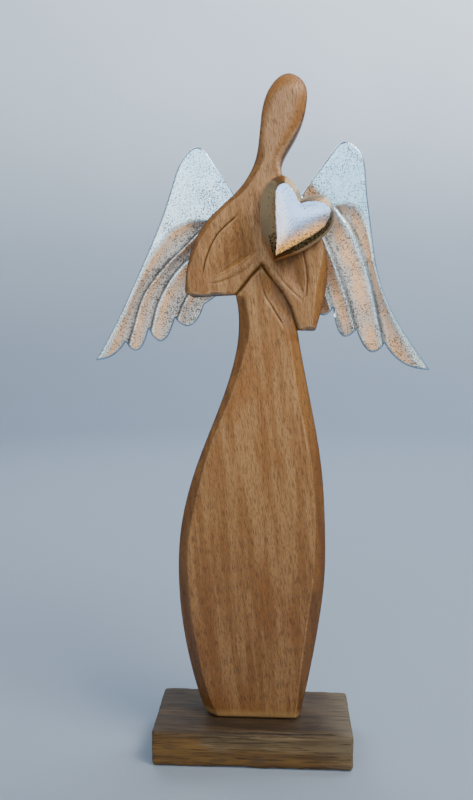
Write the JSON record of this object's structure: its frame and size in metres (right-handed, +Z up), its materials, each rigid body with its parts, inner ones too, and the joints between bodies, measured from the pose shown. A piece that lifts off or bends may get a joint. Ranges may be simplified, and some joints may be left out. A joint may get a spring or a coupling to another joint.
{
  "type": "carved wooden angel figurine",
  "caption": "Faceless angel carved from a wooden plank, standing on a wooden block, with cast metal wings screwed to its back and a cast metal heart held at the chest.",
  "frame": {"origin": "centre of the block's underside", "axes": "+Z up; the figure faces -Y; +X is to the right of a viewer in front of it"},
  "size_m": [0.2513, 0.07, 0.5007],
  "materials": {
    "carved_wood": "sanded and thinly lacquered light brown hardwood",
    "block_wood": "rough sawn, stained and worn hardwood",
    "cast_aluminium": "sand cast and polished, with fine pits",
    "heart_aluminium": "sand cast and brightly polished",
    "zinc_steel": "zinc plated"
  },
  "bodies": {
    "root": {"figure": "carved_wood", "block": "block_wood", "wing_left": "cast_aluminium", "wing_right": "cast_aluminium", "heart": "heart_aluminium", "heart_washer": "zinc_steel", "heart_screw": "zinc_steel", "wing_screw_left_inner": "zinc_steel", "wing_screw_left_outer": "zinc_steel", "wing_screw_right_inner": "zinc_steel", "wing_screw_right_outer": "zinc_steel", "block_screw_left": "zinc_steel", "block_screw_right": "zinc_steel"}
  },
  "joints": []
}
